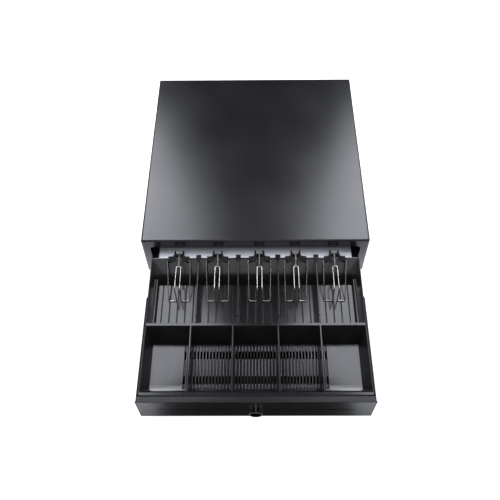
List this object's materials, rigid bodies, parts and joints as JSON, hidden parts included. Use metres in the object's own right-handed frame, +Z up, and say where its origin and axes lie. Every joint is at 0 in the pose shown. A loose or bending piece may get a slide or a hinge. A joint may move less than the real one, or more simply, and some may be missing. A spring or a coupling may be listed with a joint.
{
  "type": "cash drawer",
  "caption": "Flat steel cash drawer, drawn open, with a lift-out till of bill and coin compartments, wire bill clips, front key lock and a solenoid latch.",
  "frame": {"origin": "middle of the case's footprint, on the underside of the base plate, at the centre of the four mounting holes; the rubber feet reach 4 mm below it", "axes": "+Z up, +Y from the drawer's front to the back of the case, +X to the right seen from the front; the drawer is at rest fully open"},
  "size_m": [0.41, 0.7193, 0.1015],
  "materials": {
    "case_paint": "satin",
    "base_paint": "satin",
    "drawer_paint": "satin",
    "zinc_plate": "satin",
    "chrome_plate": "polished",
    "bright_steel": "satin",
    "spring_steel": "satin",
    "till_plastic": "glossy",
    "black_plastic": "matte",
    "white_nylon": "matte",
    "rubber": "matte",
    "copper_winding": "satin",
    "gold_contacts": "polished"
  },
  "bodies": {
    "case": {"case_cover": "case_paint", "base_plate": "base_paint", "rear_panel": "case_paint", "case_screws": "bright_steel", "rubber_feet": "rubber", "slide_rails": "zinc_plate", "stop_bumpers": "rubber", "roller_brackets": "zinc_plate", "case_roller_pins": "bright_steel", "latch_bracket": "zinc_plate", "latch_pivot_pin": "bright_steel", "solenoid_frame": "zinc_plate", "solenoid_coil": "copper_winding", "plunger_spring": "spring_steel", "eject_springs": "spring_steel", "eject_guides": "black_plastic", "switch_housing": "black_plastic", "interface_socket": "black_plastic", "socket_contacts": "gold_contacts", "inner_cable": "rubber", "cable_clips": "black_plastic", "lock_keeper": "zinc_plate"},
    "case_roller_right": {"case_roller_right": "white_nylon"},
    "case_roller_left": {"case_roller_left": "white_nylon"},
    "latch": {"latch_lever": "bright_steel"},
    "plunger": {"solenoid_plunger": "bright_steel"},
    "switch": {"switch_lever": "zinc_plate"},
    "drawer": {"front_panel": "drawer_paint", "panel_screws": "bright_steel", "drawer_pan": "drawer_paint", "rear_deck": "zinc_plate", "drawer_roller_pins": "bright_steel", "striker": "zinc_plate", "lock_barrel": "chrome_plate", "lock_nut": "chrome_plate"},
    "drawer_roller_right": {"drawer_roller_right": "white_nylon"},
    "drawer_roller_left": {"drawer_roller_left": "white_nylon"},
    "lock": {"lock_plug": "chrome_plate", "lock_cam": "bright_steel"},
    "till": {"till_tray": "till_plastic", "bill_divider_1": "till_plastic", "bill_divider_2": "till_plastic", "bill_divider_3": "till_plastic", "bill_divider_4": "till_plastic", "coin_divider_1": "till_plastic", "coin_divider_2": "till_plastic", "coin_divider_3": "till_plastic", "coin_divider_4": "till_plastic", "clip_brackets": "black_plastic", "spring_bars": "bright_steel", "clip_spring_1": "spring_steel", "clip_spring_2": "spring_steel", "clip_spring_3": "spring_steel", "clip_spring_4": "spring_steel", "clip_spring_5": "spring_steel"},
    "clip_1": {"clip_wire_1": "bright_steel"},
    "clip_2": {"clip_wire_2": "bright_steel"},
    "clip_3": {"clip_wire_3": "bright_steel"},
    "clip_4": {"clip_wire_4": "bright_steel"},
    "clip_5": {"clip_wire_5": "bright_steel"}
  },
  "joints": [
    {"name": "drawer_slide", "type": "slide", "parent": "case", "child": "drawer", "axis": [0, -1, 0], "range_m": [-0.289, 0], "deforming": ["eject_springs"]},
    {"name": "till_lift", "type": "slide", "parent": "drawer", "child": "till", "axis": [0, 0, 1], "range_m": [0, 0.08]},
    {"name": "lock_turn", "type": "hinge", "parent": "drawer", "child": "lock", "pos_m": [0, -0.499, 0.0395], "axis": [0, 1, 0], "range_deg": [0, 90]},
    {"name": "latch_turn", "type": "hinge", "parent": "case", "child": "latch", "pos_m": [0, 0.176, 0.0535], "axis": [-1, 0, 0], "range_deg": [0, 14], "stiffness_Nm_per_rad": 0.3, "springref_deg": -17.19},
    {"name": "plunger_slide", "type": "slide", "parent": "case", "child": "plunger", "axis": [0, 0, -1], "range_m": [0, 0.0045], "deforming": ["plunger_spring"]},
    {"name": "switch_press", "type": "hinge", "parent": "case", "child": "switch", "pos_m": [-0.041, 0.155, 0.027], "axis": [-1, 0, 0], "range_deg": [0, 14], "stiffness_Nm_per_rad": 0.01, "springref_deg": -17.19},
    {"name": "case_roller_right_spin", "type": "hinge", "parent": "case", "child": "case_roller_right", "pos_m": [0.179, -0.19, 0.0082], "axis": [1, 0, 0], "continuous": true},
    {"name": "case_roller_left_spin", "type": "hinge", "parent": "case", "child": "case_roller_left", "pos_m": [-0.179, -0.19, 0.0082], "axis": [1, 0, 0], "continuous": true},
    {"name": "drawer_roller_right_spin", "type": "hinge", "parent": "drawer", "child": "drawer_roller_right", "pos_m": [0.1965, -0.159, 0.04775], "axis": [1, 0, 0], "continuous": true},
    {"name": "drawer_roller_left_spin", "type": "hinge", "parent": "drawer", "child": "drawer_roller_left", "pos_m": [-0.1965, -0.159, 0.04775], "axis": [1, 0, 0], "continuous": true},
    {"name": "clip_1_hinge", "type": "hinge", "parent": "till", "child": "clip_1", "pos_m": [-0.137, -0.238, 0.0744], "axis": [-1, 0, 0], "range_deg": [0, 100], "stiffness_Nm_per_rad": 0.02, "springref_deg": -45.84, "deforming": ["clip_spring_1"]},
    {"name": "clip_2_hinge", "type": "hinge", "parent": "till", "child": "clip_2", "pos_m": [-0.0675, -0.238, 0.0744], "axis": [-1, 0, 0], "range_deg": [0, 100], "stiffness_Nm_per_rad": 0.02, "springref_deg": -45.84, "deforming": ["clip_spring_2"]},
    {"name": "clip_3_hinge", "type": "hinge", "parent": "till", "child": "clip_3", "pos_m": [0.0075, -0.238, 0.0744], "axis": [-1, 0, 0], "range_deg": [0, 100], "stiffness_Nm_per_rad": 0.02, "springref_deg": -45.84, "deforming": ["clip_spring_3"]},
    {"name": "clip_4_hinge", "type": "hinge", "parent": "till", "child": "clip_4", "pos_m": [0.0725, -0.238, 0.0744], "axis": [-1, 0, 0], "range_deg": [0, 100], "stiffness_Nm_per_rad": 0.02, "springref_deg": -45.84, "deforming": ["clip_spring_4"]},
    {"name": "clip_5_hinge", "type": "hinge", "parent": "till", "child": "clip_5", "pos_m": [0.142, -0.238, 0.0744], "axis": [-1, 0, 0], "range_deg": [0, 100], "stiffness_Nm_per_rad": 0.02, "springref_deg": -45.84, "deforming": ["clip_spring_5"]}
  ],
  "couplings": [
    {"joint": "plunger_slide", "follows": "latch_turn", "m_per_rad": 0.01782},
    {"joint": "case_roller_right_spin", "follows": "drawer_slide", "rad_per_m": 181.82},
    {"joint": "drawer_roller_right_spin", "follows": "drawer_slide", "rad_per_m": 125},
    {"joint": "case_roller_left_spin", "follows": "drawer_slide", "rad_per_m": 181.82},
    {"joint": "drawer_roller_left_spin", "follows": "drawer_slide", "rad_per_m": 125}
  ]
}
